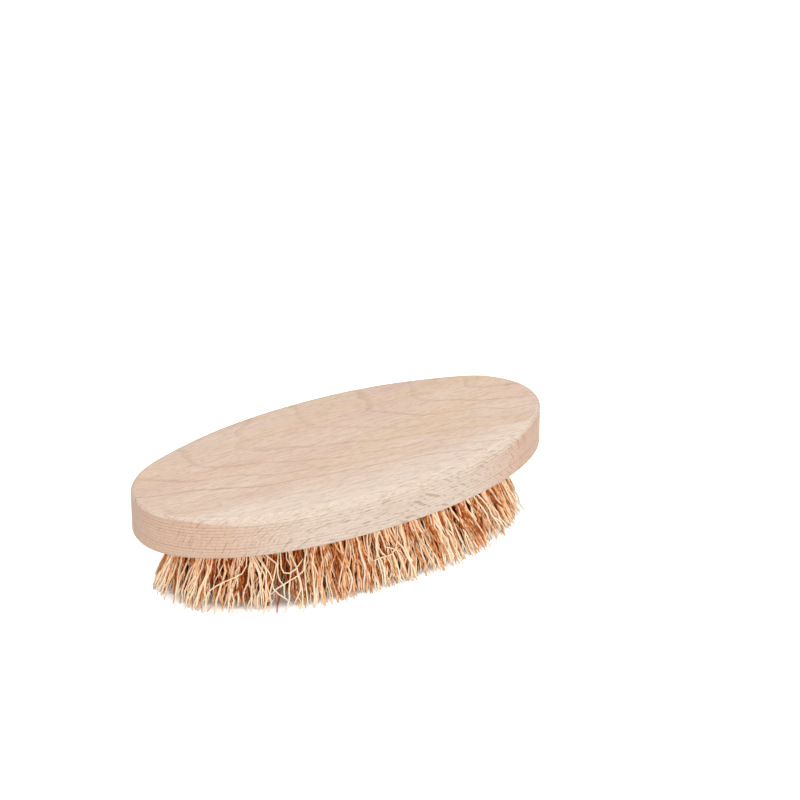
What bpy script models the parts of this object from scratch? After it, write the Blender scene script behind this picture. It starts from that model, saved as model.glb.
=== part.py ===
"""An oval laundry brush: a beech block drilled from below, with tufts of root fibre on flat wire anchors.

It stands on its fibre tips at z = 0, with the long axis of the oval along X and its centre at the origin.
"""

import math
import random

import bmesh
import bpy
import numpy as np
from mathutils import Matrix, Vector

# The wooden block, in metres
BLOCK_LENGTH = 0.165
BLOCK_WIDTH = 0.0747
BLOCK_THICKNESS = 0.0165
OVAL_POWER = 2.09  # 2 is a plain ellipse, and more gives fuller shoulders
OVAL_POINTS = 96

# Its upper edge is nearly crisp at the two ends and soft along the sides, where the hand holds it
END_ROUND = 0.0012
SIDE_ROUND = 0.003
CROWN_DROP = 0.0008
CROWN_WIDTH = 0.020
UNDER_ROUND = 0.0015
ROUND_STEPS = 4
CROWN_STEPS = 3
GRIP_START_SINE = 0.45  # sine of the angle round the oval at which the soft edge begins
GRIP_FULL_SINE = 0.85  # and at which it has its whole width

# Drilling in the flat underside
HOLE_DIAMETER = 0.0066
HOLE_DEPTH = 0.0095
HOLE_SIDES = 12
END_MARGIN = 0.0145  # wood left between the oval and the nearest hole, at the two ends
SIDE_MARGIN = 0.0115  # and along the sides
ROW_GAP = 0.0112  # between the rows' ends, along the block; across it they share its width evenly
RIM_TUFTS = 24
RING_TUFTS = 18
CORE_TUFTS = 8

# The fibre
FREE_LENGTH = 0.024  # from the underside to the tips
STRAND_RADIUS = 0.0006  # of the three corners of a strand's section
TIP_RATIO = 0.8  # a strand's width at its tip against its root
ROOT_LENGTH = 0.001  # of a strand inside the root of its tuft
RIM_STRANDS = 7
INNER_STRANDS = 6
END_LEAN_RATIO = 0.11  # share by which a tuft's tips stand further out than its hole, along the block
SIDE_LEAN_RATIO = 0.38  # and across it
FAN_CURVE = 1.15  # 1 fans a tuft out in straight lines, and more keeps it narrow below its hole
LEAST_FAN_RATIO = 0.8  # a strand's reach from the middle of its tuft, as a share of the widest
CRIMP = 0.00025
SEED = 12

# The wire anchors
ANCHOR_LENGTH = 0.0082
ANCHOR_THICKNESS = 0.0009  # at the middle of the flat wire, which is ground to a point at both ends
ANCHOR_HEIGHT = 0.002
ANCHOR_DEPTH = 0.0065  # from the underside to the lower edge of the wire

CLEARANCE = 0.0003
ROOT_SIDES = 8
FOLD_RATIO = 0.86  # the folded end of a bundle against its width at the mouth of the hole
OUTER_FACING = 0.4  # cosine of the angle within which a rim strand counts as facing out
DRILL_START = 0.002  # height below the underside at which the cutters start
SMOOTH_ANGLE = math.radians(40)
TRACK_STEPS = 720  # straight runs that stand for an oval while holes are spaced along it
GAP_LEVELS = 12  # heights at which the strands' gaps are read

UNDERSIDE = FREE_LENGTH
TOP = UNDERSIDE + BLOCK_THICKNESS
ROOT_RADIUS = HOLE_DIAMETER / 2 - CLEARANCE


def clear_scene():
    for obj in list(bpy.data.objects):
        bpy.data.objects.remove(obj, do_unlink=True)


def new_collection(name):
    collection = bpy.data.collections.new(name)
    bpy.context.scene.collection.children.link(collection)
    return collection


def new_material(name, colour, roughness, metallic=0.0):
    material = bpy.data.materials.new(name)
    material.use_nodes = True
    shader = material.node_tree.nodes["Principled BSDF"]
    shader.inputs["Base Color"].default_value = (*colour, 1.0)
    shader.inputs["Roughness"].default_value = roughness
    shader.inputs["Metallic"].default_value = metallic
    return material


def object_from(bm, name, collection, material=None):
    bmesh.ops.recalc_face_normals(bm, faces=bm.faces)
    mesh = bpy.data.meshes.new(name)
    bm.to_mesh(mesh)
    bm.free()
    obj = bpy.data.objects.new(name, mesh)
    collection.objects.link(obj)
    if material:
        mesh.materials.append(material)
    return obj


def as_cutter(obj):
    obj.hide_render = True
    obj.display_type = "WIRE"
    return obj


def add_boolean(obj, operation, other):
    boolean = obj.modifiers.new(f"{operation.lower()} {other.name}", "BOOLEAN")
    boolean.operation = operation
    boolean.solver = "EXACT"
    boolean.object = other


def blend(low, high, share):
    return low + (high - low) * share


def smooth_step(start, end, value):
    share = min(max((value - start) / (end - start), 0.0), 1.0)
    return share * share * (3 - 2 * share)


def oval_point(angle, half_length, half_width):
    """A point of the superellipse, from the angle of a circle that is stretched to it."""
    reach = 2 / OVAL_POWER
    x = math.copysign(abs(math.cos(angle)) ** reach, math.cos(angle))
    y = math.copysign(abs(math.sin(angle)) ** reach, math.sin(angle))
    return Vector((x * half_length, y * half_width))


def oval_normal(point, half_length, half_width):
    slope = OVAL_POWER - 1
    x = math.copysign(abs(point.x / half_length) ** slope / half_length, point.x)
    y = math.copysign(abs(point.y / half_width) ** slope / half_width, point.y)
    return Vector((x, y)).normalized()


def quarter_turns():
    return [math.pi / 2 * step / ROUND_STEPS for step in range(ROUND_STEPS + 1)]


def upper_edge(grip):
    """(inset, drop) pairs from the top of the upright wall to the flat land; grip runs from 0 to 1."""
    edge_round = blend(END_ROUND, SIDE_ROUND, grip)
    drop = CROWN_DROP * grip
    width = blend(2 * END_ROUND, CROWN_WIDTH, grip)
    turns = quarter_turns()
    insets = [edge_round * (1 - math.cos(turn)) for turn in turns]
    rounds = [edge_round * (1 - math.sin(turn)) for turn in turns]
    for step in range(1, CROWN_STEPS + 1):
        insets.append(blend(edge_round, width, step / CROWN_STEPS))
        rounds.append(0.0)
    return [(inset, drop * (1 - inset / width) ** 2 + fall) for inset, fall in zip(insets, rounds)]


def block_rings():
    """The block's closed rings of points, from the flat of the underside up to the flat of the top."""
    half_length, half_width = BLOCK_LENGTH / 2, BLOCK_WIDTH / 2
    under = [(1 - math.sin(turn), 1 - math.cos(turn)) for turn in quarter_turns()]
    columns = []
    for count in range(OVAL_POINTS):
        angle = math.tau * count / OVAL_POINTS
        place = oval_point(angle, half_length, half_width)
        inward = -oval_normal(place, half_length, half_width)
        grip = smooth_step(GRIP_START_SINE, GRIP_FULL_SINE, abs(math.sin(angle)))
        profile = [(UNDER_ROUND * inset, UNDERSIDE + UNDER_ROUND * rise) for inset, rise in under]
        profile += [(inset, TOP - drop) for inset, drop in upper_edge(grip)]
        columns.append([(*(place + inward * inset), height) for inset, height in profile])
    return list(zip(*columns))


def loft(rings):
    """A closed solid through rings of as many points each, with a flat face on the first and the last."""
    bm = bmesh.new()
    loops = [[bm.verts.new(point) for point in ring] for ring in rings]
    for low, high in zip(loops, loops[1:]):
        for count, corner in enumerate(low):
            after = (count + 1) % len(low)
            bm.faces.new((corner, low[after], high[after], high[count]))
    bm.faces.new(loops[0])
    bm.faces.new(loops[-1])
    return bm


def spread_round(half_length, half_width, copies, start):
    """Points evenly spaced along an oval, the first one start spacings past its +X end."""
    angles = [math.tau * step / TRACK_STEPS for step in range(TRACK_STEPS + 1)]
    track = [oval_point(angle, half_length, half_width) for angle in angles]
    runs = [0.0]
    for before, after in zip(track, track[1:]):
        runs.append(runs[-1] + (after - before).length)
    wanted = [runs[-1] * (copy + start) / copies for copy in range(copies)]
    xs = np.interp(wanted, runs, [point.x for point in track])
    ys = np.interp(wanted, runs, [point.y for point in track])
    return [Vector(pair) for pair in zip(xs.tolist(), ys.tolist())]


def drill_pattern():
    """Name, centre and number of strands of each tuft: the rim, the ring in it and the middle row."""
    rim_length = BLOCK_LENGTH / 2 - END_MARGIN - HOLE_DIAMETER / 2
    rim_width = BLOCK_WIDTH / 2 - SIDE_MARGIN - HOLE_DIAMETER / 2
    rim = spread_round(rim_length, rim_width, RIM_TUFTS, 0)
    ring = spread_round(rim_length - ROW_GAP, rim_width / 2, RING_TUFTS, 0.5)
    reach = rim_length - 2 * ROW_GAP
    core = [Vector((blend(-reach, reach, step / (CORE_TUFTS - 1)), 0.0)) for step in range(CORE_TUFTS)]
    pattern = [(f"tuft_rim_{count:02d}", place, RIM_STRANDS) for count, place in enumerate(rim, 1)]
    pattern += [(f"tuft_ring_{count:02d}", place, INNER_STRANDS) for count, place in enumerate(ring, 1)]
    pattern += [(f"tuft_core_{count:02d}", place, INNER_STRANDS) for count, place in enumerate(core, 1)]
    return pattern


def spread(place):
    """Where a fibre that were upright at this place has its tip, for all of them lean outwards."""
    return Vector((place.x * (1 + END_LEAN_RATIO), place.y * (1 + SIDE_LEAN_RATIO)))


def least_spacing(places):
    return min((a - b).length for count, a in enumerate(places) for b in places[count + 1:])


def strand_points(root, tip, bends, crimp):
    """Points of one strand, which leaves its hole upright and leans further out towards its tip."""
    points = [Vector((*root, UNDERSIDE + ROOT_LENGTH))]
    for bend in range(1, bends + 1):
        share = bend / (bends + 1)
        sway = Vector((crimp.uniform(-CRIMP, CRIMP), crimp.uniform(-CRIMP, CRIMP)))
        points.append(Vector((*(root.lerp(tip, share ** FAN_CURVE) + sway), UNDERSIDE * (1 - share))))
    points.append(Vector((*tip, 0.0)))
    return points


def tuft_strands(place, strands, fan, crimp):
    """Point lists of a tuft's strands: one in the middle and the rest round it, the first one facing out."""
    outward = math.atan2(place.y, place.x)
    root_reach = ROOT_RADIUS * math.cos(math.pi / ROOT_SIDES) - STRAND_RADIUS - CLEARANCE / 2
    found = [strand_points(place, spread(place), 1, crimp)]
    for count in range(strands - 1):
        turn = math.tau * count / (strands - 1)
        direction = Vector((math.cos(outward + turn), math.sin(outward + turn)))
        reach = fan * crimp.uniform(LEAST_FAN_RATIO, 1)
        faces_out = strands == RIM_STRANDS and math.cos(turn) > OUTER_FACING
        root, tip = place + direction * root_reach, spread(place + direction * reach)
        found.append(strand_points(root, tip, 2 if faces_out else 1, crimp))
    return found


def add_strand(bm, points):
    """A three-sided strand: a triangle drawn down through the points, whose last end is cut level."""
    start = Matrix.Translation(points[0])
    made = bmesh.ops.create_circle(bm, cap_ends=True, segments=3, radius=STRAND_RADIUS, matrix=start)
    face = made["verts"][0].link_faces[0]
    widths = [blend(1, TIP_RATIO, count / (len(points) - 1)) for count in range(len(points))]
    for count in range(1, len(points)):
        grown = bmesh.ops.extrude_face_region(bm, geom=[face])["geom"]
        if count > 1:
            bmesh.ops.delete(bm, geom=[face], context="FACES_ONLY")
        face = next(item for item in grown if isinstance(item, bmesh.types.BMFace))
        corners = list(face.verts)
        bmesh.ops.translate(bm, verts=corners, vec=points[count] - points[count - 1])
        size = widths[count] / widths[count - 1]
        bmesh.ops.scale(bm, verts=corners, vec=(size, size, 1), space=Matrix.Translation(-points[count]))


def upright(place, bottom, height):
    """The matrix of the middle of an upright piece that starts at this height."""
    return Matrix.Translation((place.x, place.y, bottom + height / 2))


def add_prism(bm, place, bottom, height, sides, radius, top_radius):
    """An upright prism or cone, turned so that a facet, not a corner, faces each end of Y."""
    matrix = upright(place, bottom, height) @ Matrix.Rotation(math.pi / sides, 4, "Z")
    bmesh.ops.create_cone(
        bm, cap_ends=True, segments=sides, radius1=radius, radius2=top_radius, depth=height, matrix=matrix
    )


def add_box(bm, place, bottom, width, length, height):
    size = Matrix.Diagonal((width, length, height, 1))
    bmesh.ops.create_cube(bm, size=1, matrix=upright(place, bottom, height) @ size)


def add_anchor(bm, place):
    """A flat wire across the grain, pointed at both ends: a square prism stretched along Y."""
    size = Matrix.Diagonal((ANCHOR_THICKNESS / 2, ANCHOR_LENGTH / 2, ANCHOR_HEIGHT, 1))
    matrix = upright(place, UNDERSIDE + ANCHOR_DEPTH, ANCHOR_HEIGHT) @ size
    bmesh.ops.create_cone(bm, cap_ends=True, segments=4, radius1=1, radius2=1, depth=1, matrix=matrix)


def make_tuft(name, place, strands, fan, crimp, parts, cutters, materials):
    """The root of a bundle in its hole, its strands below it and the wire that holds it by its fold."""
    root, bundle, wire = bmesh.new(), bmesh.new(), bmesh.new()
    depth, fold_radius = HOLE_DEPTH - CLEARANCE, ROOT_RADIUS * FOLD_RATIO
    add_prism(root, place, UNDERSIDE, depth, ROOT_SIDES, ROOT_RADIUS, fold_radius)
    paths = tuft_strands(place, strands, fan, crimp)
    for points in paths:
        add_strand(bundle, points)
    add_anchor(wire, place)
    tuft = object_from(root, name, parts, materials["fibre"])
    bundle = as_cutter(object_from(bundle, f"strands_{name}", cutters, materials["fibre"]))
    wire = as_cutter(object_from(wire, f"anchor_{name}", cutters, materials["wire"]))
    add_boolean(tuft, "UNION", bundle)
    add_boolean(tuft, "UNION", wire)
    return paths


def make_drills(pattern, cutters):
    """The drill's cylinders, and the narrow pockets beside them that the wires' ends bite into."""
    holes, pockets = bmesh.new(), bmesh.new()
    wire_at_wall = ANCHOR_THICKNESS * (1 - HOLE_DIAMETER / ANCHOR_LENGTH)
    width, length, height = (size + 2 * CLEARANCE for size in (wire_at_wall, ANCHOR_LENGTH, ANCHOR_HEIGHT))
    radius, reach = HOLE_DIAMETER / 2, HOLE_DEPTH + DRILL_START
    for _, place, _ in pattern:
        add_prism(holes, place, UNDERSIDE - DRILL_START, reach, HOLE_SIDES, radius, radius)
        add_box(pockets, place, UNDERSIDE + ANCHOR_DEPTH - CLEARANCE, width, length, height)
    named = (("holes", holes), ("pockets", pockets))
    return [as_cutter(object_from(bm, name, cutters)) for name, bm in named]


def make_block(pattern, parts, cutters, material):
    block = object_from(loft(block_rings()), "brush_block", parts, material)
    for cutter in make_drills(pattern, cutters):
        add_boolean(block, "DIFFERENCE", cutter)
    block.data.shade_smooth()
    block.data.set_sharp_from_angle(angle=SMOOTH_ANGLE)
    return block


def place_at(points, height):
    """Where a strand's middle line crosses this height."""
    for above, below in zip(points, points[1:]):
        if below.z <= height <= above.z:
            return above.lerp(below, (above.z - height) / (above.z - below.z)).to_2d()
    return points[-1].to_2d()


def least_strand_gap(paths):
    """The least distance between two strands' corners, read at several heights."""
    levels = [UNDERSIDE * step / GAP_LEVELS for step in range(GAP_LEVELS + 1)]
    least = min(least_spacing([place_at(points, level) for points in paths]) for level in levels)
    return least - 2 * STRAND_RADIUS


def main():
    clear_scene()
    parts, cutters = new_collection("laundry_brush"), new_collection("cutters")
    materials = {
        "beech": new_material("beech", (0.74, 0.58, 0.43), 0.62),
        "fibre": new_material("root_fibre", (0.80, 0.50, 0.24), 0.55),
        "wire": new_material("anchor_wire", (0.60, 0.60, 0.58), 0.35, 1.0),
    }
    pattern = drill_pattern()
    fan = least_spacing([place for _, place, _ in pattern]) / 2 - STRAND_RADIUS - CLEARANCE
    crimp = random.Random(SEED)
    make_block(pattern, parts, cutters, materials["beech"])
    paths = []
    for name, place, strands in pattern:
        paths += make_tuft(name, place, strands, fan, crimp, parts, cutters, materials)
    print(f"{len(pattern)} tufts, {len(paths)} strands, least gap {least_strand_gap(paths) * 1000:.2f} mm")


main()
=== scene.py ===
import math

import bmesh
import bpy
import numpy as np
from mathutils import Matrix, Vector


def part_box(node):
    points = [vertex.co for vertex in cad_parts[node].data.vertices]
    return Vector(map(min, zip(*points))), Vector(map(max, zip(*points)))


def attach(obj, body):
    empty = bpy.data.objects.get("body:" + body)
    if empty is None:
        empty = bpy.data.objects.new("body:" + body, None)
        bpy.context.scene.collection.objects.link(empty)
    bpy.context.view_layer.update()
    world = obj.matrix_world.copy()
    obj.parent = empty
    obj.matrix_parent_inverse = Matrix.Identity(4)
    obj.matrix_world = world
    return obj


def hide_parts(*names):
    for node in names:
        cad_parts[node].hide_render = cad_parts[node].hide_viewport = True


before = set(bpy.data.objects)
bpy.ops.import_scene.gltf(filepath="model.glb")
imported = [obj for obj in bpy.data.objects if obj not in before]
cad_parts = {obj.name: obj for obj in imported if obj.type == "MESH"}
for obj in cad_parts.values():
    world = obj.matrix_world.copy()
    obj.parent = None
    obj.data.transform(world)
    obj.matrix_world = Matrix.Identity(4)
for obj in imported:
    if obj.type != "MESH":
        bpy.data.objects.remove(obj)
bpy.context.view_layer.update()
print(f"frame loaded: {len(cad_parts)} nodes")

mm = 0.001
noiseMiddle = 0.5  # what a noise comes to on average
scene = bpy.context.scene


# small helpers for meshes and node trees

def meshPiece(name, mesh, material):
    mesh.materials.append(material)
    piece = bpy.data.objects.new(name, mesh)
    scene.collection.objects.link(piece)
    return piece


def meshFrom(bm, name):
    bmesh.ops.recalc_face_normals(bm, faces=bm.faces)
    mesh = bpy.data.meshes.new(name)
    bm.to_mesh(mesh)
    bm.free()
    return mesh


def blend(low, high, share):
    return low + (high - low) * share


def smoothStep(start, end, value):
    share = min(max((value - start) / (end - start), 0), 1)
    return share * share * (3 - 2 * share)


def addNode(tree, kind, wires=None, **settings):
    made = tree.nodes.new(kind)
    for key, value in settings.items():
        setattr(made, key, value)
    for key, value in (wires or {}).items():
        if isinstance(value, bpy.types.NodeSocket):
            tree.links.new(value, made.inputs[key])
        else:
            made.inputs[key].default_value = value
    return made


def calc(tree, operation, first, second=0.0, clamped=False):
    wires = {0: first, 1: second}
    made = addNode(tree, "ShaderNodeMath", wires, operation=operation, use_clamp=clamped)
    return made.outputs[0]


def times(tree, first, *others):
    for other in others:
        first = calc(tree, "MULTIPLY", first, other)
    return first


def added(tree, first, *others):
    for other in others:
        first = calc(tree, "ADD", first, other)
    return first


def vectorCalc(tree, operation, first, second):
    wires = {0: first, 1: second}
    return addNode(tree, "ShaderNodeVectorMath", wires, operation=operation).outputs[0]


def split(tree, vector):
    return addNode(tree, "ShaderNodeSeparateXYZ", {0: vector}).outputs


def remap(tree, value, fromLow, fromHigh, toLow=0.0, toHigh=1.0, kind="SMOOTHSTEP"):
    wires = {
        "Value": value,
        "From Min": fromLow,
        "From Max": fromHigh,
        "To Min": toLow,
        "To Max": toHigh,
    }
    return addNode(tree, "ShaderNodeMapRange", wires, interpolation_type=kind).outputs[0]


def noise(tree, place, size, offset=(0, 0, 0), detail=2.0, roughness=0.5, output="Fac"):
    wires = {
        "Vector": stretched(tree, place, size, offset),
        "Scale": 1.0,
        "Detail": detail,
        "Roughness": roughness,
    }
    return addNode(tree, "ShaderNodeTexNoise", wires).outputs[output]


def stretched(tree, place, size, offset):
    # coordinates in which one unit is as long as size says, in millimetres along each axis
    wires = {"Vector": place, "Location": offset, "Scale": tuple(1 / length for length in size)}
    return addNode(tree, "ShaderNodeMapping", wires, vector_type="POINT").outputs[0]


def mixColour(tree, share, first, second, kind="MIX"):
    made = addNode(tree, "ShaderNodeMix", data_type="RGBA", blend_type=kind)
    for key, value in (("Factor", share), ("A", first), ("B", second)):
        socket = next(item for item in made.inputs if item.name == key and item.enabled)
        if isinstance(value, bpy.types.NodeSocket):
            tree.links.new(value, socket)
        else:
            socket.default_value = value
    return next(item for item in made.outputs if item.enabled)


def bumpFrom(tree, height, strength, depth):
    wires = {"Height": height, "Strength": strength, "Distance": depth}
    return addNode(tree, "ShaderNodeBump", wires).outputs[0]


def newMaterial(name, sockets):
    made = bpy.data.materials.new(name)
    made.use_nodes = True
    shader = made.node_tree.nodes["Principled BSDF"]
    for key, value in sockets.items():
        shader.inputs[key].default_value = value
    return made, made.node_tree, shader.inputs


def millimetres(tree):
    place = addNode(tree, "ShaderNodeTexCoord").outputs["Object"]
    wires = {0: place, "Scale": 1 / mm}
    return addNode(tree, "ShaderNodeVectorMath", wires, operation="SCALE").outputs[0]


# the camera, at the height and turn of the photograph

view = {
    "turn": math.radians(-30.02),
    "tilt": math.radians(29.5),
    "distance": 1.32,
    "lens": 155.19,
    "right": 0.02199,  # the block's middle from the line of sight, along the floor
    "behind": 0.06191,
}


def makeCamera():
    turn = Matrix.Rotation(view["turn"], 3, "Z")
    back = turn @ Vector((0, -math.cos(view["tilt"]), math.sin(view["tilt"])))
    right = turn @ Vector((1, 0, 0))
    blockLow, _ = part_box("brush_block")
    aim = turn @ Vector((view["right"], view["behind"], 0)) + Vector((0, 0, blockLow.z))
    camera = bpy.data.objects.new("camera", bpy.data.cameras.new("camera"))
    scene.collection.objects.link(camera)
    axes = Matrix((right, back.cross(right), back)).transposed().to_4x4()
    camera.matrix_world = Matrix.Translation(aim + back * view["distance"]) @ axes
    camera.data.lens = view["lens"]
    scene.camera = camera


makeCamera()
print("camera placed")


# beech: layers of growth rings that lie almost flat, crossed by thin upright rays

beech = {
    "roughness": 0.62,
    # the wood's colours: three of its own on the back, then a painted highlight on its near edge, a
    # painted sheen on the sides and rounded edges, and the ends' own darker colour with painted
    # shade
    "pale": (0.755, 0.585, 0.470, 1),
    "rose": (0.720, 0.520, 0.420, 1),
    "sand": (0.735, 0.550, 0.405, 1),
    "paintedNearHighlight": (0.775, 0.635, 0.535, 1),
    "paintedSideSheen": (0.675, 0.557, 0.468, 1),
    "endGrainAndShade": (0.632, 0.437, 0.330, 1),
    # what the marks multiply them by
    "paleStreak": (1.10, 1.12, 1.14, 1),
    "darkStreak": (0.89, 0.86, 0.84, 1),
    "ring": (0.66, 0.57, 0.50, 1),
    "pore": (0.82, 0.77, 0.73, 1),
    "ray": (0.67, 0.59, 0.54, 1),
    # the patterns: size in millimetres along each axis, offset, detail, roughness
    "drift": ((32, 16, 16), (0, 0, 0), 1.0),
    "wave": ((55, 20, 40), (0, 0, 0), 1.0),
    "ripple": ((15, 5, 9), (3, 1, 7), 1.0),
    "rosePatch": ((60, 12, 15), (5, 2, 9), 1.0),
    "sandPatch": ((45, 9, 12), (1, 8, 3), 1.0),
    "streaks": ((15, 0.7, 0.6), (0, 0, 0), 2.0, 0.6),
    "pores": ((3.5, 0.35, 0.35), (4, 4, 4), 1.0),
    # two kinds of rays: size of the cells, reach of a speck in its cell, offset
    "ribbons": ((8.5, 0.65, 13), 0.28, (0, 0, 0)),
    "slips": ((3.4, 0.40, 8), 0.33, (7, 3, 1)),
    "speckCore": 0.55,  # how much of a speck's reach is full
    "driftReach": (0, 2.6, 0.8),  # how far the grain wanders, in millimetres
    # the stack of rings, in millimetres
    "ringWidth": 1.25,
    "ringStart": 0.9,
    "ringMiddle": 20.0,  # where across the block the rings lie highest
    "ringBend": 0.0034,
    "ringRise": 0.052,  # for each millimetre along the block
    "ringBendByHeight": (38.0, 40.0, 0.2, 1.0),  # how much of bend and rise there is, by height
    "waveHeight": 1.5,
    "rippleHeight": 0.2,
    # from here on, where a mark begins and is full, and how strong it is at both, if not 0 and 1
    "lateStart": (0.4, 0.95, 0.55, 0.80),  # where a ring gets dark; narrower on the slanting top
    "lateFull": 0.95,
    "ringStrength": (0.0, 1.0, 0.24, 0.75, "LINEAR"),  # of the faintest and the strongest ring
    "ringStrengthAtEnds": (0.0, 1.0, 0.05, 0.60, "LINEAR"),  # added to it there
    "ringFaint": (2.0, 13.0, 0.6, 1.0),  # by the distance from the middle of the rings
    "roseFrom": (0.36, 0.70),
    "sandFrom": (0.43, 0.64),
    "sandAlong": (-30.0, 35.0, 0.6, 1.0),
    # painted highlight where the surface turns towards the near side
    "nearEdgeFrom": (0.005, 0.055),
    # painted sheen: the walls turn paler and less saturated
    "sideSheenFrom": (0.25, 0.75),
    "endFrom": (0.12, 0.5),
    # painted sheen on the rounded edge between the back and the walls
    "edgeSheenFromTop": (0.98, 0.8),
    "edgeSheenFromWall": (0.1, 0.45),
    "edgeSheenShare": 0.8,
    "darkStreakFrom": (0.48, 0.75),
    "paleStreakFrom": (0.46, 0.20),
    "poreFrom": (0.52, 0.75),
    "ribbonShare": 0.8,
    "slipShare": 0.55,
    "rayOnTop": (0.95, 1.0, 1.0, 0.55),
    "rayTowardsEnds": (0.10, 0.35, 1.0, 0.8),
    "rayAtEnds": (0.55, 0.85, 1.0, 0.3),
    "rayLean": 0.28,  # how far a ray leans across the block for each millimetre of height
    "bump": (0.35, 0.05 * mm),
    "streakBump": 0.6,
    "ringBump": 0.25,
    "rayBump": 0.4,
}


def growthRings(tree, place, along, across, height):
    # the height of a point in the stack of rings, counted in rings
    bend = times(tree, across, across, beech["ringBend"])
    bend = calc(tree, "SUBTRACT", bend, times(tree, along, beech["ringRise"]))
    bend = times(tree, bend, remap(tree, height, *beech["ringBendByHeight"]))
    wave = times(tree, noise(tree, place, *beech["wave"]), beech["waveHeight"])
    ripple = times(tree, noise(tree, place, *beech["ripple"]), beech["rippleHeight"])
    height = added(tree, height, beech["ringStart"], bend, wave, ripple)
    return calc(tree, "DIVIDE", height, beech["ringWidth"])


def specks(tree, place, size, reach, offset):
    # lens-shaped specks, one to a cell; reach is their half size as a share of the cell
    wires = {"Vector": stretched(tree, place, size, offset), "Scale": 1.0}
    away = addNode(tree, "ShaderNodeTexVoronoi", wires).outputs["Distance"]
    return remap(tree, away, reach, reach * beech["speckCore"])


def driftedPlace(tree):
    # the grain wanders a little to the sides and up and down
    place = millimetres(tree)
    drift = noise(tree, place, *beech["drift"], output="Color")
    shift = vectorCalc(tree, "SUBTRACT", drift, [noiseMiddle] * 3)
    return vectorCalc(tree, "ADD", place, vectorCalc(tree, "MULTIPLY", shift, beech["driftReach"]))


def leaningPlace(tree, place):
    # coordinates in which the rays, which stand square to the rings, are upright
    along, across, height = split(tree, place)
    leaning = added(tree, across, times(tree, height, beech["rayLean"]))
    wires = {0: along, 1: leaning, 2: height}
    return addNode(tree, "ShaderNodeCombineXYZ", wires).outputs[0]


def ringMarks(tree, place, facing, endwise):
    # the dark line at the end of each ring, as strong as chance has it for that ring
    along, across, height = split(tree, place)
    across = calc(tree, "SUBTRACT", across, beech["ringMiddle"])
    rings = growthRings(tree, place, along, across, height)
    through = calc(tree, "FRACT", rings)
    start = remap(tree, facing["Z"], *beech["lateStart"])
    rising = remap(tree, through, start, beech["lateFull"])
    late = times(tree, rising, remap(tree, through, 1.0, beech["lateFull"]))
    wires = {"W": calc(tree, "FLOOR", rings)}
    chance = addNode(tree, "ShaderNodeTexWhiteNoise", wires, noise_dimensions="1D").outputs["Value"]
    chance = times(tree, chance, chance)
    atEnds = remap(tree, chance, *beech["ringStrengthAtEnds"])
    atEnds = times(tree, atEnds, remap(tree, endwise, *beech["endFrom"]))
    late = times(tree, late, added(tree, remap(tree, chance, *beech["ringStrength"]), atEnds))
    # fainter where the rings are highest: the top cuts them at such a slant there that they smudge
    faint = remap(tree, calc(tree, "ABSOLUTE", across), *beech["ringFaint"])
    return times(tree, late, faint)


def rayMarks(tree, ribbons, slips, facing, endwise):
    slips = times(tree, slips, beech["slipShare"])
    marks = calc(tree, "ADD", times(tree, ribbons, beech["ribbonShare"]), slips, clamped=True)
    marks = times(tree, marks, remap(tree, facing["Z"], *beech["rayOnTop"]))
    marks = times(tree, marks, remap(tree, endwise, *beech["rayTowardsEnds"]))
    return times(tree, marks, remap(tree, endwise, *beech["rayAtEnds"]))


def makeBeech():
    material, tree, shader = newMaterial("beech", {"Roughness": beech["roughness"]})
    place = driftedPlace(tree)
    facing = split(tree, addNode(tree, "ShaderNodeTexCoord").outputs["Normal"])
    endwise = calc(tree, "ABSOLUTE", facing["X"])
    sidewise = calc(tree, "ABSOLUTE", facing["Y"])
    nearwise = times(tree, facing["Y"], -1.0)

    rose = remap(tree, noise(tree, place, *beech["rosePatch"]), *beech["roseFrom"])
    sand = remap(tree, noise(tree, place, *beech["sandPatch"]), *beech["sandFrom"])
    sand = times(tree, sand, remap(tree, split(tree, place)["X"], *beech["sandAlong"]))
    # painted sheen on the rounded edge between the back and the walls
    edge = remap(tree, facing["Z"], *beech["edgeSheenFromTop"])
    edge = times(tree, edge, remap(tree, facing["Z"], *beech["edgeSheenFromWall"]), beech["edgeSheenShare"])
    rings = ringMarks(tree, place, facing, endwise)
    streaks = noise(tree, place, *beech["streaks"])
    pores = noise(tree, place, *beech["pores"])
    leaning = leaningPlace(tree, place)
    ribbons, slips = (specks(tree, leaning, *beech[kind]) for kind in ("ribbons", "slips"))

    colour = beech["pale"]
    for name, share in (
        ("rose", rose),
        ("sand", sand),
        # painted highlight on what turns towards the near side
        ("paintedNearHighlight", remap(tree, nearwise, *beech["nearEdgeFrom"])),
        # painted sheen on the walls
        ("paintedSideSheen", remap(tree, sidewise, *beech["sideSheenFrom"])),
        # the ends' own darker colour, darkened further as painted shade
        ("endGrainAndShade", remap(tree, endwise, *beech["endFrom"])),
        # painted sheen on the rounded edge
        ("paintedSideSheen", edge),
    ):
        colour = mixColour(tree, share, colour, beech[name])
    for name, share in (
        ("ring", rings),
        ("darkStreak", remap(tree, streaks, *beech["darkStreakFrom"])),
        ("paleStreak", remap(tree, streaks, *beech["paleStreakFrom"])),
        ("pore", remap(tree, pores, *beech["poreFrom"])),
        ("ray", rayMarks(tree, ribbons, slips, facing, endwise)),
    ):
        colour = mixColour(tree, share, colour, beech[name], "MULTIPLY")
    tree.links.new(colour, shader["Base Color"])

    grain = times(tree, streaks, beech["streakBump"])
    grain = added(tree, grain, times(tree, rings, beech["ringBump"]))
    grain = calc(tree, "SUBTRACT", grain, times(tree, ribbons, beech["rayBump"]))
    tree.links.new(bumpFrom(tree, grain, *beech["bump"]), shader["Normal"])
    return material


beechMaterial = makeBeech()


# the block: an oval with upright walls, nearly crisp at its ends and softly rounded along its sides

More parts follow.
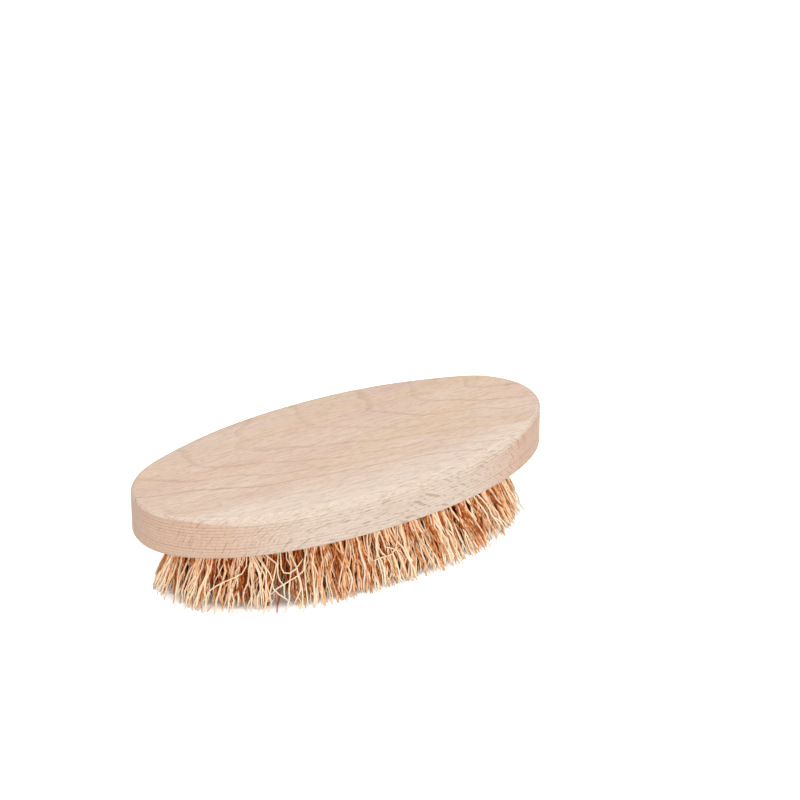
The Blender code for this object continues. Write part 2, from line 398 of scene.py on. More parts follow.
block = {
    "ovalPower": 2.09,
    "ovalPoints": 384,
    "endRound": 1.2 * mm,
    "sideRound": 3.0 * mm,
    "crownDrop": 0.8 * mm,  # along the sides the back falls by this over the width below
    "crownWidth": 20 * mm,
    "underRound": 1.5 * mm,
    "roundSteps": 8,
    "crownSteps": 12,
    "grip": (0.45, 0.85),  # where the sides' rounding begins and is full, as the sine of the turn
    "holeRadius": 3.3 * mm,
    "holeDepth": 9.5 * mm,
    "holeSides": 32,
    "drillBelow": 2 * mm,  # how far a drill stands out of the underside
    "pocket": (0.78 * mm, 8.8 * mm, 2.6 * mm),
    "pocketHeight": 6.2 * mm,
    "foldFrom": 8.8 * mm,  # only a tuft's folded end reaches higher than this above the underside
    "creaseAngle": math.radians(40),
}


def ovalPoint(angle, halfLength, halfWidth):
    reach = 2 / block["ovalPower"]
    x = math.copysign(abs(math.cos(angle)) ** reach, math.cos(angle))
    y = math.copysign(abs(math.sin(angle)) ** reach, math.sin(angle))
    return Vector((x * halfLength, y * halfWidth))


def ovalNormal(point, halfLength, halfWidth):
    slope = block["ovalPower"] - 1
    x = math.copysign(abs(point.x / halfLength) ** slope / halfLength, point.x)
    y = math.copysign(abs(point.y / halfWidth) ** slope / halfWidth, point.y)
    return Vector((x, y)).normalized()


def quarterTurns():
    return [math.pi / 2 * step / block["roundSteps"] for step in range(block["roundSteps"] + 1)]


def upperEdge(grip):
    # (inset, drop) pairs from the top of the upright wall to the flat land
    edgeRound = blend(block["endRound"], block["sideRound"], grip)
    drop = block["crownDrop"] * grip
    width = blend(2 * block["endRound"], block["crownWidth"], grip)
    pairs = []
    for turn in quarterTurns():
        pairs.append((edgeRound * (1 - math.cos(turn)), edgeRound * (1 - math.sin(turn))))
    steps = block["crownSteps"]
    pairs += [(blend(edgeRound, width, step / steps), 0) for step in range(1, steps + 1)]
    return [(inset, drop * (1 - inset / width) ** 2 + fall) for inset, fall in pairs]


def blockRings(low, high):
    halfLength, halfWidth = high.x, high.y
    under = []
    for turn in quarterTurns():
        inset = block["underRound"] * (1 - math.sin(turn))
        under.append((inset, low.z + block["underRound"] * (1 - math.cos(turn))))
    columns = []
    for count in range(block["ovalPoints"]):
        angle = math.tau * count / block["ovalPoints"]
        place = ovalPoint(angle, halfLength, halfWidth)
        inward = -ovalNormal(place, halfLength, halfWidth)
        grip = smoothStep(*block["grip"], abs(math.sin(angle)))
        profile = under + [(inset, high.z - drop) for inset, drop in upperEdge(grip)]
        columns.append([(*(place + inward * inset), height) for inset, height in profile])
    return list(zip(*columns))


def loft(rings):
    bm = bmesh.new()
    loops = [[bm.verts.new(point) for point in ring] for ring in rings]
    for low, high in zip(loops, loops[1:]):
        for count, corner in enumerate(low):
            after = (count + 1) % len(low)
            bm.faces.new((corner, low[after], high[after], high[count]))
    bm.faces.new(loops[0])
    bm.faces.new(loops[-1])
    return bm


def tuftNodes():
    return sorted(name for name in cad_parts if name.startswith("tuft_"))


def holePlace(name, underside):
    # the middle of a tuft's folded end, which lies deep in its hole
    corners = [corner.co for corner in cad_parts[name].data.vertices]
    deep = [corner for corner in corners if corner.z > underside + block["foldFrom"]]
    spans = [(min(values), max(values)) for values in zip(*(corner.xy for corner in deep))]
    return Vector([low + high for low, high in spans]) / 2


def drills(places, underside):
    holes, pockets = bmesh.new(), bmesh.new()
    depth = block["holeDepth"] + block["drillBelow"]
    cone = {
        "cap_ends": True,
        "segments": block["holeSides"],
        "radius1": block["holeRadius"],
        "radius2": block["holeRadius"],
        "depth": depth,
    }
    size = Matrix.Diagonal((*block["pocket"], 1))
    for place in places:
        middle = (place.x, place.y, underside + block["holeDepth"] - depth / 2)
        bmesh.ops.create_cone(holes, **cone, matrix=Matrix.Translation(middle))
        middle = (place.x, place.y, underside + block["pocketHeight"] + block["pocket"][2] / 2)
        bmesh.ops.create_cube(pockets, size=1, matrix=Matrix.Translation(middle) @ size)
    return meshFrom(holes, "holes"), meshFrom(pockets, "pockets")


def applyModifiers(piece):
    shaped = piece.evaluated_get(bpy.context.evaluated_depsgraph_get())
    made = bpy.data.meshes.new_from_object(shaped)
    piece.modifiers.clear()
    piece.data = made


def makeBlock(places):
    low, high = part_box("brush_block")
    mesh = meshFrom(loft(blockRings(low, high)), "wooden_block")
    piece = meshPiece("wooden_block", mesh, beechMaterial)
    cutters = [meshPiece(mesh.name, mesh, beechMaterial) for mesh in drills(places, low.z)]
    for cutter in cutters:
        boolean = piece.modifiers.new(cutter.name, "BOOLEAN")
        boolean.operation, boolean.solver, boolean.object = "DIFFERENCE", "EXACT", cutter
    applyModifiers(piece)
    for cutter in cutters:
        bpy.data.objects.remove(cutter)
    piece.data.shade_smooth()
    piece.data.set_sharp_from_angle(angle=block["creaseAngle"])
    piece.modifiers.new("even shading", "WEIGHTED_NORMAL").keep_sharp = True
    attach(piece, "root")
    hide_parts("brush_block")


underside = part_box("brush_block")[0].z
holePlaces = {name: holePlace(name, underside) for name in tuftNodes()}
makeBlock(holePlaces.values())
print("block lofted and drilled")


# the fibre: each one is folded over a wire in its hole, and its ends fan out and wander downwards

fibre = {
    "seed": 31,
    # colours, from the deepest to the palest, and where each one lies between 0 and 1
    "ramp": (
        (0.0, (0.350, 0.068, 0.012, 1)),
        (0.20, (0.680, 0.270, 0.092, 1)),
        (0.46, (0.960, 0.605, 0.370, 1)),
        (0.76, (0.990, 0.825, 0.600, 1)),
        (1.0, (1.000, 0.900, 0.735, 1)),
    ),
    "roughness": 0.6,
    "gloss": 0.05,
    # painted shade on the fibres far along the brush
    "paintedFarShade": (0.96, 0.945, 0.92, 1),  # what multiplies the fibres' colour far along the brush
    "farFrom": (-48, -12),  # in millimetres, where that starts and where it is full
    "patches": (0.8, 0.8, 1.5),  # sizes in millimetres
    "patchTone": 0.8,
    "toneScale": 0.8,
    "ridges": (0.25, 0.25, 3.0),
    "bump": (0.4, 0.06 * mm),
    # the bundle in its hole
    "radius": 0.33 * mm,
    "radiusSpread": 0.07 * mm,
    "radiusRange": (0.2 * mm, 0.42 * mm),
    "radiusNoise": 0.06,
    "tipSize": 0.62,
    "tipLift": 0.5,  # the least height of a tip's middle, in radii
    "sides": 5,
    "firstSide": (0.31, 0.95, 0.0),  # a direction in which no fibre starts
    "pitch": 0.66 * mm,  # between the fibres in a hole
    "rowRise": 0.866,  # between its rows, in pitches
    "rowStart": (0.25, 0.5),  # from the wire to the first fibre of even and odd rows, in pitches
    "holeRoom": 0.12 * mm,
    "bendHeight": 7.0 * mm,
    "foldHeight": 8.9 * mm,
    "foldReach": 0.35,  # the fibres' distance from the wire at the fold, as a share of that below
    "foldWidth": 0.9,
    # the fan below the block
    "freeSteps": 10,
    "endLean": 0.11,
    "sideLean": 0.36,
    "moreLean": 0.24,  # added to it away from the left end
    "moreWander": 1.27,  # how much more unruly they are there
    "moreFrom": (-45 * mm, -20 * mm),
    "fan": (8.0 * mm, 4.2 * mm),  # along and across the block
    "fanPower": 0.75,
    "fanRange": (0.75, 1.1),
    "scatter": 2.1 * mm,
    "curve": (0.25, 0.80),  # below 1 a fibre flares out at once and hangs more upright further down
    "strayShare": 0.11,
    "stray": 7.0 * mm,  # how far that share of the fibres strays from the fan
    # the gap between two bundles on the near side, close to the left end
    "partingMiddle": (-40.3 * mm, -28.5 * mm),
    "partingTurn": math.radians(-30),
    "partingReach": (7.0 * mm, 8.0 * mm),
    "partingPush": 5.5 * mm,
    "partingStray": 1.5,  # how many more fibres go astray there
    # painted shade on the fibres in the gap
    "paintedPartingShade": 0.4,
    # half axes and middle of the ellipse that holds the fibres at the wood, and at the tips
    "exit": np.array(((65.5, 27.0), (-0.7, -1.0))) * mm,
    "limit": np.array(((78.0, 39.5), (-2.6, -3.5))) * mm,
    "limitCurve": 1.3,
    "limitRange": (0.95, 1),
    "knee": 0.88,  # from this share of an ellipse on, fibres are drawn in
    "sideLimit": 39.0 * mm,  # no fibre stands further out than this across the block
    "sway": 0.95 * mm,
    "swayWaves": ((0.5, 0.6), (1.1, 0.5), (2.2, 0.32), (3.7, 0.16)),  # turns, share of the sway
    "swayFull": 0.25,  # how far down a fibre sways in full
    "kink": 0.12 * mm,
    "ragged": 1.5 * mm,  # how much shorter than the brush is high a fibre may be
    "shortShare": 0.08,
    "short": 3 * mm,  # how much shorter that share of the fibres may be
    "floorGap": 0.05 * mm,
    # tones, from 0 for the deepest colour to 1 for the palest
    "tipTone": 0.22,
    # painted highlight that pales the very tips
    "paintedTipHighlight": 0.22,
    "tipFadePower": 6,
    # painted shade: the fibres darken towards the block
    "paintedRootShade": 0.34,
    "toneSpread": (0.85, 0.7),  # nearer to 0, more are very pale or very red; left end and beyond
    "toneSkew": 1.1,
    "toneNoise": 0.10,
    # painted shade within the brush: fibres further in are darker and redder
    "paintedDeepShade": 0.95,
    "deepPower": 0.2,
    "deep": 0.17,  # how far in the fibres are reddest, as a share of the brush's half size
    "rimRoots": (68.0 * mm, 25.9 * mm),
    "rimTips": (75.3 * mm, 38.0 * mm),
    "endTone": 0.1,  # how much paler they get towards the left end, from where, over what length
    "endFrom": (-55 * mm, 14 * mm),
    "crossTone": 0.85,
    "crossRadius": 0.27 * mm,
    # the map laid out over the fibres
    "mapMargin": 0.08,  # beside a face, as a share of its width
    "mapEndRoom": 0.04,  # above and below the strips
    "mapCapHeight": 0.018,  # where in that room a fibre's end lies
    "mapCapSize": (0.4, 0.015),
}

# fibres that cross over the others, by tuft: the way each takes to its tip, in millimetres
crossings = {
    "tuft_rim_15": (
        (
            (-51.4, -24.1, 18.3), (-52.8, -24.3, 15.5), (-54.9, -23.6, 13.6), (-57.1, -22.7, 13.3),
            (-59.2, -22.3, 12.5), (-64.3, -21.0, 10.4), (-65.2, -20.4, 8.8), (-65.9, -20.0, 6.7),
            (-67.4, -18.7, 3.8),
        ),
        (
            (-44.4, -29.6, 13.6), (-44.7, -30.5, 10.0), (-44.2, -31.2, 8.1), (-42.2, -32.6, 6.6),
            (-39.4, -34.2, 3.6),
        ),
        (
            (-48.8, -25.1, 18.5), (-47.9, -26.5, 16.4), (-47.9, -27.7, 13.0), (-47.9, -28.8, 8.7),
            (-48.1, -30.1, 2.4),
        ),
        (
            (-48.0, -25.6, 18.1), (-46.9, -27.2, 15.9), (-46.3, -28.5, 12.9), (-46.4, -29.2, 10.3),
            (-45.9, -30.0, 8.0), (-45.7, -30.9, 4.6), (-45.7, -31.4, 2.0),
        ),
        (
            (-46.6, -26.2, 18.4), (-45.6, -28.0, 15.3), (-46.4, -28.6, 12.4), (-46.8, -29.3, 9.3),
            (-47.6, -30.5, 1.7),
        ),
        (
            (-48.8, -25.8, 17.1), (-48.2, -27.0, 14.7), (-48.4, -27.9, 11.8), (-48.6, -28.7, 8.1),
            (-48.7, -29.9, 1.4),
        ),
        (
            (-41.8, -28.6, 17.7), (-43.0, -29.3, 15.1), (-43.9, -29.7, 12.8), (-44.8, -29.9, 10.4),
            (-46.5, -30.6, 4.3),
        ),
    ),
    "tuft_rim_16": (
        (
            (-39.9, -28.2, 19.9), (-40.7, -29.5, 17.5), (-41.0, -30.4, 15.5), (-39.6, -31.2, 14.0),
            (-37.3, -31.5, 14.3), (-35.2, -31.4, 15.5), (-33.7, -31.0, 16.9), (-32.3, -30.6, 18.0),
        ),
        (
            (-41.7, -29.0, 17.9), (-42.3, -29.9, 15.3), (-42.4, -30.7, 12.9), (-41.6, -31.6, 11.0),
            (-40.8, -32.4, 10.2), (-41.3, -32.7, 8.0), (-41.3, -33.3, 5.8),
        ),
        (
            (-35.2, -31.4, 15.5), (-35.3, -32.5, 12.3), (-34.7, -33.1, 10.3), (-35.1, -33.7, 7.4),
            (-38.3, -34.5, 2.7),
        ),
    ),
    "tuft_rim_17": (
        (
            (-32.4, -31.4, 16.3), (-32.8, -32.2, 13.9), (-35.9, -32.3, 12.4), (-38.9, -32.1, 11.6),
            (-40.6, -32.2, 10.9), (-42.3, -31.6, 10.0), (-43.8, -31.1, 9.0), (-45.5, -30.7, 7.2),
        ),
    ),
    "tuft_rim_19": (
        (
            (-0.4, -33.9, 14.8), (1.9, -34.1, 13.8), (4.1, -34.4, 12.4), (5.2, -35.0, 10.3),
            (5.5, -35.6, 7.5), (4.8, -36.1, 5.0),
        ),
    ),
    "tuft_rim_20": (
        (
            (4.6, -33.8, 14.9), (3.4, -34.5, 12.3), (1.1, -34.8, 11.0), (-1.7, -34.7, 11.4),
            (-4.1, -34.7, 11.3), (-6.3, -34.8, 11.0),
        ),
        (
            (9.6, -34.5, 12.0), (8.1, -35.3, 8.4), (6.0, -35.7, 6.6), (4.5, -36.1, 4.7),
            (3.8, -36.7, 1.0),
        ),
    ),
}


def makeFibreMaterial():
    sockets = {"Roughness": fibre["roughness"], "Specular IOR Level": fibre["gloss"]}
    material, tree, shader = newMaterial("root_fibre", sockets)
    tone = addNode(tree, "ShaderNodeAttribute", attribute_name="tone").outputs["Fac"]
    place = millimetres(tree)
    patches = calc(tree, "SUBTRACT", noise(tree, place, fibre["patches"]), noiseMiddle)
    tone = added(tree, tone, times(tree, patches, fibre["patchTone"]))
    ramp = addNode(tree, "ShaderNodeValToRGB", {0: times(tree, tone, fibre["toneScale"])})
    stops = ramp.color_ramp.elements
    while len(stops) < len(fibre["ramp"]):
        stops.new(0.5)
    for stop, (position, colour) in zip(stops, fibre["ramp"]):
        stop.position, stop.color = position, colour
    # painted shade on the fibres far along the brush
    far = remap(tree, split(tree, place)["X"], *fibre["farFrom"])
    shaded = mixColour(tree, far, ramp.outputs[0], fibre["paintedFarShade"], "MULTIPLY")
    tree.links.new(shaded, shader["Base Color"])
    bump = bumpFrom(tree, noise(tree, place, fibre["ridges"]), *fibre["bump"])
    tree.links.new(bump, shader["Normal"])
    return material


fibreMaterial = makeFibreMaterial()


def bundlePlaces():
    # (x, y) of the fibres in a hole, on a triangular grid, in pairs across the wire
    reach = block["holeRadius"] - fibre["radius"] - fibre["holeRoom"]
    pitch, rise = fibre["pitch"], fibre["rowRise"]
    rows = int(reach / pitch / rise) + 1
    found = []
    for row in range(-rows, rows + 1):
        y = row * pitch * rise
        for column in range(rows + 1):
            x = (column + fibre["rowStart"][row % 2]) * pitch
            if math.hypot(x, y) < reach:
                found.append((x, y))
    right = np.array(found)
    return right, right * (-1, 1)


def held(flat, halves, middle, reach=1):
    # draws points near the outline of an ellipse, or outside it, in; none stays outside
    out = flat - middle
    share = np.linalg.norm(out / halves, axis=-1) / reach
    knee, room = fibre["knee"], 1 - fibre["knee"]
    eased = knee + room * np.tanh((share - knee) / room)
    return middle + out * np.where(share > knee, eased / np.maximum(share, knee), 1)[..., None]


def atParting(flat):
    # how far points are to the right of the parting, how much they are in it, and where right is
    right = np.array((math.cos(fibre["partingTurn"]), math.sin(fibre["partingTurn"])))
    out = flat - fibre["partingMiddle"]
    across, along = out @ right, out @ (-right[1], right[0])
    reachAcross, reachAlong = fibre["partingReach"]
    return across, np.exp(-(across / reachAcross) ** 2 - (along / reachAlong) ** 2), right


def pastLeftEnd(x):
    # 0 at the left end of the brush, 1 well away from it
    return smoothStep(*fibre["moreFrom"], x)


def tipPlaces(centre, roots, rng):
    past = pastLeftEnd(centre[0])
    lean = np.array((1 + fibre["endLean"], 1 + fibre["sideLean"] + fibre["moreLean"] * past))
    scatter = fibre["scatter"] * blend(1, fibre["moreWander"], past)
    share = roots / (block["holeRadius"] - fibre["radius"])
    share = np.sign(share) * np.abs(share) ** fibre["fanPower"]
    spread = share * np.array(fibre["fan"]) * rng.uniform(*fibre["fanRange"], (len(roots), 1))
    tips = (centre + spread) * lean + rng.normal(0, scatter, roots.shape)
    across, near, right = atParting(tips)
    tips += (fibre["partingPush"] * near * np.sign(across))[:, None] * right
    strayShare = fibre["strayShare"] * (1 + fibre["partingStray"] * near[:, None])
    astray = rng.uniform(0, 1, (len(roots), 1)) < strayShare
    tips += np.where(astray, rng.normal(0, fibre["stray"], roots.shape), 0)
    reach = rng.uniform(*fibre["limitRange"], len(tips))
    tips = held(tips, *fibre["limit"], reach)
    tips[:, 1] = tips[:, 1].clip(-fibre["sideLimit"] * reach, fibre["sideLimit"] * reach)
    return tips


def crinkle(shares, count, rng):
    # sideways offsets (fibres, steps, 2) that grow from nothing at the hole
    waves = np.zeros((count, len(shares), 2))
    for turns, size in fibre["swayWaves"]:
        phase = rng.uniform(0, math.tau, (count, 1, 2))
        depth = rng.normal(0, size * fibre["sway"], (count, 1, 2))
        swing = np.sin(math.tau * turns * shares[None, :, None] + phase) - np.sin(phase)
        waves += depth * swing
    waves += rng.normal(0, fibre["kink"], waves.shape)
    return waves * np.minimum(1, shares / fibre["swayFull"])[None, :, None]


def freeRuns(centre, roots, rng):
    # points (fibres, steps, 3) of the part of each fibre below the block
    count = len(roots)
    shares = np.linspace(0, 1, fibre["freeSteps"] + 1)
    tips = tipPlaces(centre, roots, rng)[:, None, :]
    starts = (centre + roots)[:, None, :]
    along = (shares[None, :] ** rng.uniform(*fibre["curve"], count)[:, None])[:, :, None]
    wander = blend(1, fibre["moreWander"], pastLeftEnd(centre[0]))
    flat = starts + (tips - starts) * along + crinkle(shares, count, rng) * wander
    lower = shares[:, None] ** fibre["limitCurve"]
    halves, middle = (blend(*ends, lower) for ends in zip(fibre["exit"], fibre["limit"]))
    flat = held(flat, halves, middle)
    flat[..., 1] = flat[..., 1].clip(-fibre["sideLimit"], fibre["sideLimit"])
    short = fibre["ragged"] * rng.uniform(0, 1, count) ** 2
    shorter = rng.uniform(0, 1, count) < fibre["shortShare"]
    short += np.where(shorter, rng.uniform(0, fibre["short"], count), 0)
    drop = (underside - fibre["floorGap"] - short)[:, None] * shares[None, :]
    return np.concatenate((flat, (underside - drop)[:, :, None]), axis=2)


def tuftPaths(centre, rng):
    # whole folded fibres: a free run upwards, the fold over the wire and a free run down beyond it
    right, left = bundlePlaces()
    rising, falling = freeRuns(centre, right, rng)[:, ::-1], freeRuns(centre, left, rng)
    bend, top = (1, fibre["bendHeight"]), (fibre["foldReach"], fibre["foldHeight"])
    fold = []
    for roots, (reach, height) in ((right, bend), (right, top), (left, top), (left, bend)):
        flat = centre + roots * (reach, fibre["foldWidth"])
        fold.append(np.column_stack((flat, np.full(len(flat), underside + height))))
    return np.concatenate((rising, np.stack(fold, axis=1), falling), axis=1)


def tubes(paths, radii):
    # corners (fibres, steps, sides, 3) of tubes round the paths, turned without twist
    tangents = np.gradient(paths, axis=1)
    tangents /= np.linalg.norm(tangents, axis=2, keepdims=True)
    side = np.cross(tangents[:, 0], fibre["firstSide"])
    angles = (math.tau * np.arange(fibre["sides"]) / fibre["sides"])[None, :, None]
    rings = []
    for step in range(paths.shape[1]):
        along = tangents[:, step]
        side = side - along * np.sum(side * along, axis=1, keepdims=True)
        side /= np.linalg.norm(side, axis=1, keepdims=True)
        other = np.cross(along, side)
        ring = side[:, None, :] * np.cos(angles) + other[:, None, :] * np.sin(angles)
        rings.append(paths[:, step, None, :] + ring * radii[:, step, None, None])
    return np.stack(rings, axis=1)


def tubeFaces(count, steps, sides):
    corners = steps * sides
    step, side = np.meshgrid(np.arange(steps - 1), np.arange(sides), indexing="ij")
    low, after = step * sides, (side + 1) % sides
    quads = np.stack((low + side, low + after, low + sides + after, low + sides + side), axis=-1)
    quads = quads.reshape(-1, 4)[None] + (np.arange(count) * corners)[:, None, None]
    caps = []
    for start in range(0, count * corners, corners):
        caps.append(list(range(start + sides - 1, start - 1, -1)))
        caps.append(list(range(start + corners - sides, start + corners)))
    return quads.reshape(-1, 4).tolist(), caps


def layOut(mesh, count, steps, sides):
    # a map with one upright strip for each fibre, and room for its two ends at the top and bottom
    margin, endRoom = fibre["mapMargin"], fibre["mapEndRoom"]
    faces = np.arange(count * (steps - 1) * sides)
    strip, step, side = np.unravel_index(faces, (count, steps - 1, sides))
    left, right = ((strip + (side + edge) / sides) / count for edge in (margin, 1 - margin))
    low, high = (endRoom + (1 - 2 * endRoom) * (step + edge) / (steps - 1) for edge in (0, 1))
    corners = np.stack((left, low, right, low, right, high, left, high), axis=1).reshape(-1, 2)
    angles = math.tau * np.arange(sides) / sides
    width, depth = fibre["mapCapSize"]
    ends = []
    for strip in range(count):
        for height in (fibre["mapCapHeight"], 1 - fibre["mapCapHeight"]):
            across = (strip + 0.5 + width * np.cos(angles)) / count
            ends.append(np.column_stack((across, height + depth * np.sin(angles))))
    layer = mesh.uv_layers.new(name="OFBake")
    layer.uv.foreach_set("vector", np.concatenate((corners, *ends)).astype(np.float32).ravel())


def fibreTones(paths, rng):
    # painted light and shade: paler at the tips and on the outside of the brush, darker towards the
    # block, darker and redder within it and in the parting
    count, steps = paths.shape[:2]
    rise = (paths[..., 2] / underside).clip(0, 1)
    rim = blend(np.array(fibre["rimTips"]), np.array(fibre["rimRoots"]), rise[..., None])
    depth = ((1 - np.linalg.norm(paths[..., :2] / rim, axis=-1)) / fibre["deep"]).clip(0, 1)
    spread = blend(*fibre["toneSpread"], pastLeftEnd(paths[:, :, 0].mean()))
    tones = rng.beta(spread, spread * fibre["toneSkew"], (count, 1))
    tones = tones + rng.normal(0, fibre["toneNoise"], (count, steps))
    # painted shade towards the block, above the tips
    tones += fibre["tipTone"] - fibre["paintedRootShade"] * rise
    # painted highlight at the very tips
    tones += fibre["paintedTipHighlight"] * (1 - rise) ** fibre["tipFadePower"]
    endStart, endLength = fibre["endFrom"]
    tones += fibre["endTone"] * ((endStart - paths[..., 0]) / endLength).clip(0, 1)
    # painted shade deep within the brush
    tones -= fibre["paintedDeepShade"] * depth * rise ** fibre["deepPower"]
    # painted shade in the parting
    return tones - fibre["paintedPartingShade"] * atParting(paths[..., :2])[1]


def crossOver(paths, routes):
    # leads one fibre's free end along each route, and returns which fibres those are
    first, chosen = paths.shape[1] - fibre["freeSteps"] - 1, []
    for route in routes:
        route = np.array(route) * mm
        away = np.linalg.norm(paths[:, first, :2] - route[0, :2], axis=1)
        away[chosen] = np.inf
        nearest = int(away.argmin())
        chosen.append(nearest)
        corners = np.vstack((paths[nearest, first], route))
        lengths = np.append(0, np.linalg.norm(np.diff(corners, axis=0), axis=1).cumsum())
        steps = np.linspace(0, lengths[-1], fibre["freeSteps"] + 1)
        run = [np.interp(steps, lengths, values) for values in corners.T]
        paths[nearest, first:] = np.column_stack(run)
    return chosen


def makeTuft(name, centre, routes, rng):
    paths = tuftPaths(np.array(centre), rng)
    count, steps = paths.shape[:2]
    crossing = crossOver(paths, routes)
    tones = fibreTones(paths, rng)
    tones[crossing] = fibre["crossTone"]
    thickness = rng.normal(fibre["radius"], fibre["radiusSpread"], count)
    thickness = thickness.clip(*fibre["radiusRange"])
    thickness[crossing] = fibre["crossRadius"]
    radii = thickness[:, None] * (1 + rng.normal(0, fibre["radiusNoise"], (count, steps)))
    tips = [0, -1]
    radii[:, tips] *= fibre["tipSize"]
    paths[:, tips, 2] = np.maximum(paths[:, tips, 2], radii[:, tips] * fibre["tipLift"])
    corners = tubes(paths, radii)
    corners[..., 2] = np.maximum(corners[..., 2], 0)
    walls, caps = tubeFaces(count, steps, fibre["sides"])
    mesh = bpy.data.meshes.new(name)
    mesh.from_pydata(corners.reshape(-1, 3).tolist(), [], walls + caps)
    values = np.repeat(tones.reshape(-1), fibre["sides"]).astype(np.float32)
    mesh.attributes.new("tone", "FLOAT", "POINT").data.foreach_set("value", values)
    layOut(mesh, count, steps, fibre["sides"])
    mesh.shade_smooth()
    piece = meshPiece(name, mesh, fibreMaterial)
    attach(piece, "root")
    return piece


fibreCount = 0
for index, (node, place) in enumerate(holePlaces.items()):
    rng = np.random.default_rng(fibre["seed"] + index)
    tuft = makeTuft(node.replace("tuft", "fibres"), place, crossings.get(node, ()), rng)
    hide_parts(node)
    fibreCount += len(tuft.data.polygons)
print(f"{len(holePlaces)} tufts of fibre, {fibreCount} faces")


# the wires that hold the folds, hidden in the holes

wire = {
    "length": 8.2 * mm,
    "thickness": 0.9 * mm,
    "height": 2.0 * mm,
    "above": 6.5 * mm,  # from the underside of the block
    "sides": 4,
    "bevel": 0.08 * mm,
    "bevelSteps": 2,
    "colour": (0.56, 0.56, 0.54, 1),
    "scratchColour": (0.392, 0.392, 0.378, 1),
    "roughness": (0.3, 0.5),
    "scratches": (0.2, 2.0, 0.1),  # sizes in millimetres
    "scratchFrom": (0.3, 0.7),
}


def makeWires(places):
    bm = bmesh.new()
    size = Matrix.Diagonal((wire["thickness"] / 2, wire["length"] / 2, wire["height"], 1))
    cone = {"cap_ends": True, "segments": wire["sides"], "radius1": 1, "radius2": 1, "depth": 1}
    for place in places:
        middle = (place.x, place.y, underside + wire["above"] + wire["height"] / 2)
        bmesh.ops.create_cone(bm, **cone, matrix=Matrix.Translation(middle) @ size)
    steps = wire["bevelSteps"]
    bmesh.ops.bevel(bm, geom=bm.edges, offset=wire["bevel"], segments=steps, affect="EDGES")
    material, tree, shader = newMaterial("anchor_wire", {"Metallic": 1.0})
    scratches = noise(tree, millimetres(tree), wire["scratches"])
    share = remap(tree, scratches, *wire["scratchFrom"])
    shade = mixColour(tree, share, wire["colour"], wire["scratchColour"])
    roughness = remap(tree, scratches, *wire["scratchFrom"], *wire["roughness"])
    tree.links.new(shade, shader["Base Color"])
    tree.links.new(roughness, shader["Roughness"])
    piece = meshPiece("anchor_wires", meshFrom(bm, "anchor_wires"), material)
    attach(piece, "root")


makeWires(holePlaces.values())
print("wires set")


# a white floor that keeps the shadow, and soft light from the front, both sides and above

studio = {
    "floorSize": 6.0,
    "floorSeen": (1, 1, 1, 1),
    "floorColour": (0.6, 0.6, 0.6, 1),
    "floorGlow": 0.62,  # what the floor gives the camera besides the light on it, past the brush
    "glowStart": (0.0740, 0.0370),  # half axes of the oval in which the floor doesn't glow
    "glowEdge": (0.90, 1.05),  # where at that oval the glow begins and is full
    "ambient": (0.545, 0.545, 0.545, 1),
    "lampAim": (0, 0, 0.02),
    # name: (place, size, watts, colour)
    "lamps": {
        "front": ((0.15, -1.50, 0.45), 0.5, 11.8, (1.0, 0.985, 0.96)),
        "top": ((0.15, 0.35, 1.45), 1.3, 7.1, (1.0, 0.99, 0.975)),
        "right": ((1.30, -0.40, 0.45), 0.8, 5.3, (1.0, 0.98, 0.95)),
        "left": ((-1.20, -0.50, 0.50), 0.8, 2.5, (1.0, 0.98, 0.95)),
    },
}
white = (1, 1, 1, 1)


def cameraShare(tree):
    # 1 for what the camera sees, also in a reflection or through something clear
    path = addNode(tree, "ShaderNodeLightPath")
    seen = calc(tree, "MAXIMUM", path.outputs["Is Camera Ray"], path.outputs["Is Glossy Ray"])
    return calc(tree, "MAXIMUM", seen, path.outputs["Is Transmission Ray"])


def forCamera(tree, others, seen):
    wires = {0: cameraShare(tree), 1: others, 2: seen}
    return addNode(tree, "ShaderNodeMixShader", wires).outputs[0]


def clearedTree(owner):
    owner.use_nodes = True
    owner.node_tree.nodes.clear()
    return owner.node_tree


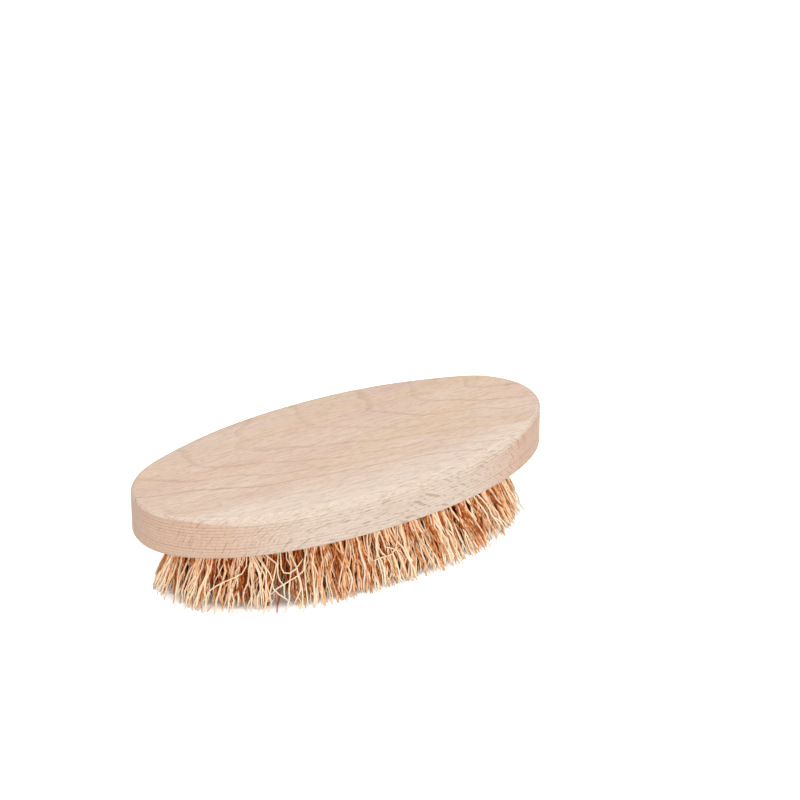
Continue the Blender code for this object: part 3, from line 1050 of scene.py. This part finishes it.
def makeFloor():
    bm = bmesh.new()
    bmesh.ops.create_grid(bm, x_segments=1, y_segments=1, size=studio["floorSize"] / 2)
    material = bpy.data.materials.new("floor")
    tree = clearedTree(material)
    place = addNode(tree, "ShaderNodeTexCoord").outputs["Object"]
    halfLength, halfWidth = studio["glowStart"]
    place = vectorCalc(tree, "MULTIPLY", place, (1 / halfLength, 1 / halfWidth, 1))
    away = addNode(tree, "ShaderNodeVectorMath", {0: place}, operation="LENGTH").outputs["Value"]
    strength = times(tree, remap(tree, away, *studio["glowEdge"]), studio["floorGlow"])
    lit, seen = (
        addNode(tree, "ShaderNodeBsdfDiffuse", {"Color": studio[name]}).outputs[0]
        for name in ("floorColour", "floorSeen")
    )
    glow = addNode(tree, "ShaderNodeEmission", {"Color": white, "Strength": strength}).outputs[0]
    bright = addNode(tree, "ShaderNodeAddShader", {0: seen, 1: glow}).outputs[0]
    addNode(tree, "ShaderNodeOutputMaterial", {"Surface": forCamera(tree, lit, bright)})
    meshPiece("floor", meshFrom(bm, "floor"), material)


def makeWorld():
    world = bpy.data.worlds.new("studio")
    scene.world = world
    tree = clearedTree(world)
    ambient, backdrop = (
        addNode(tree, "ShaderNodeBackground", {"Color": colour, "Strength": 1.0}).outputs[0]
        for colour in (studio["ambient"], white)
    )
    addNode(tree, "ShaderNodeOutputWorld", {"Surface": forCamera(tree, ambient, backdrop)})


def makeLamps():
    # lamps are placed as the camera sees the brush
    turn = Matrix.Rotation(view["turn"], 3, "Z")
    for name, (place, size, watts, colour) in studio["lamps"].items():
        light = bpy.data.lights.new(name, "AREA")
        light.size, light.energy, light.color = size, watts, colour
        lamp = bpy.data.objects.new(name, light)
        scene.collection.objects.link(lamp)
        lamp.location = turn @ Vector(place)
        lamp.rotation_mode = "QUATERNION"
        away = lamp.location - Vector(studio["lampAim"])
        lamp.rotation_quaternion = away.to_track_quat("Z", "Y")


makeFloor()
makeWorld()
makeLamps()
scene.view_settings.view_transform = "Standard"
print("studio lit")
